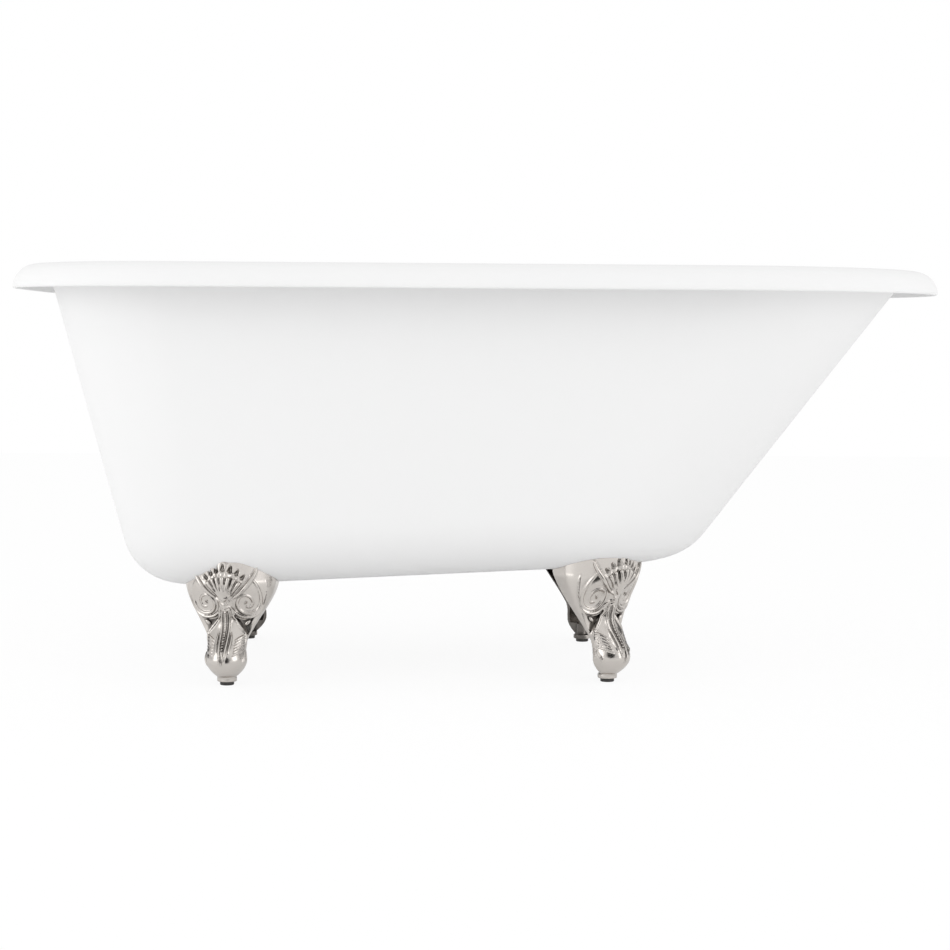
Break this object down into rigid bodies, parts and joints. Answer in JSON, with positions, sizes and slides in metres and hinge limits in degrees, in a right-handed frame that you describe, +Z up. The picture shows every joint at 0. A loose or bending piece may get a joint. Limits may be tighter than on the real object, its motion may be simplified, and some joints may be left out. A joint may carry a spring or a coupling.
{
  "type": "clawfoot bathtub",
  "caption": "Freestanding cast-iron bath with a rolled rim and a sloped backrest, on ball-and-claw feet with screw-in levellers.",
  "frame": {"origin": "on the floor, under the middle of the rim", "axes": "+X from the drain end to the sloped backrest, +Y to the side away from the viewer, +Z up"},
  "size_m": [1.372, 0.762, 0.596],
  "materials": {
    "enamel_on_iron": "white vitreous enamel inside and over the rim, white paint outside",
    "nickel_plate": "brushed nickel plate on a casting",
    "zinc_steel": "zinc plated",
    "spring_steel": "oiled spring steel",
    "dark_steel": "blackened",
    "pad_plastic": "moulded dark plastic"
  },
  "bodies": {
    "tub": {"tub_shell": "enamel_on_iron", "foot_drain_front": "nickel_plate", "stud_drain_front": "zinc_steel", "washer_drain_front": "zinc_steel", "lock_washer_drain_front": "spring_steel", "nut_drain_front": "zinc_steel", "foot_drain_back": "nickel_plate", "stud_drain_back": "zinc_steel", "washer_drain_back": "zinc_steel", "lock_washer_drain_back": "spring_steel", "nut_drain_back": "zinc_steel", "foot_slope_front": "nickel_plate", "stud_slope_front": "zinc_steel", "washer_slope_front": "zinc_steel", "lock_washer_slope_front": "spring_steel", "nut_slope_front": "zinc_steel", "foot_slope_back": "nickel_plate", "stud_slope_back": "zinc_steel", "washer_slope_back": "zinc_steel", "lock_washer_slope_back": "spring_steel", "nut_slope_back": "zinc_steel"},
    "pad_drain_front": {"leveller_pad_drain_front": "pad_plastic"},
    "stem_drain_front": {"leveller_stem_drain_front": "dark_steel"},
    "pad_drain_back": {"leveller_pad_drain_back": "pad_plastic"},
    "stem_drain_back": {"leveller_stem_drain_back": "dark_steel"},
    "pad_slope_front": {"leveller_pad_slope_front": "pad_plastic"},
    "stem_slope_front": {"leveller_stem_slope_front": "dark_steel"},
    "pad_slope_back": {"leveller_pad_slope_back": "pad_plastic"},
    "stem_slope_back": {"leveller_stem_slope_back": "dark_steel"}
  },
  "joints": [
    {"name": "leveller_height_drain_front", "type": "slide", "parent": "tub", "child": "pad_drain_front", "axis": [0, 0, -1], "range_m": [0, 0.009]},
    {"name": "leveller_turn_drain_front", "type": "hinge", "parent": "pad_drain_front", "child": "stem_drain_front", "pos_m": [-0.371, -0.25, 0], "axis": [0, 0, -1], "range_deg": [0, 2161]},
    {"name": "leveller_height_drain_back", "type": "slide", "parent": "tub", "child": "pad_drain_back", "axis": [0, 0, -1], "range_m": [0, 0.009]},
    {"name": "leveller_turn_drain_back", "type": "hinge", "parent": "pad_drain_back", "child": "stem_drain_back", "pos_m": [-0.371, 0.25, 0], "axis": [0, 0, -1], "range_deg": [0, 2161]},
    {"name": "leveller_height_slope_front", "type": "slide", "parent": "tub", "child": "pad_slope_front", "axis": [0, 0, -1], "range_m": [0, 0.009]},
    {"name": "leveller_turn_slope_front", "type": "hinge", "parent": "pad_slope_front", "child": "stem_slope_front", "pos_m": [0.174, -0.216, 0], "axis": [0, 0, -1], "range_deg": [0, 2161]},
    {"name": "leveller_height_slope_back", "type": "slide", "parent": "tub", "child": "pad_slope_back", "axis": [0, 0, -1], "range_m": [0, 0.009]},
    {"name": "leveller_turn_slope_back", "type": "hinge", "parent": "pad_slope_back", "child": "stem_slope_back", "pos_m": [0.174, 0.216, 0], "axis": [0, 0, -1], "range_deg": [0, 2161]}
  ],
  "couplings": [
    {"joint": "leveller_turn_drain_front", "follows": "leveller_height_drain_front", "rad_per_m": 4188.8},
    {"joint": "leveller_turn_drain_back", "follows": "leveller_height_drain_back", "rad_per_m": 4188.8},
    {"joint": "leveller_turn_slope_front", "follows": "leveller_height_slope_front", "rad_per_m": 4188.8},
    {"joint": "leveller_turn_slope_back", "follows": "leveller_height_slope_back", "rad_per_m": 4188.8}
  ]
}
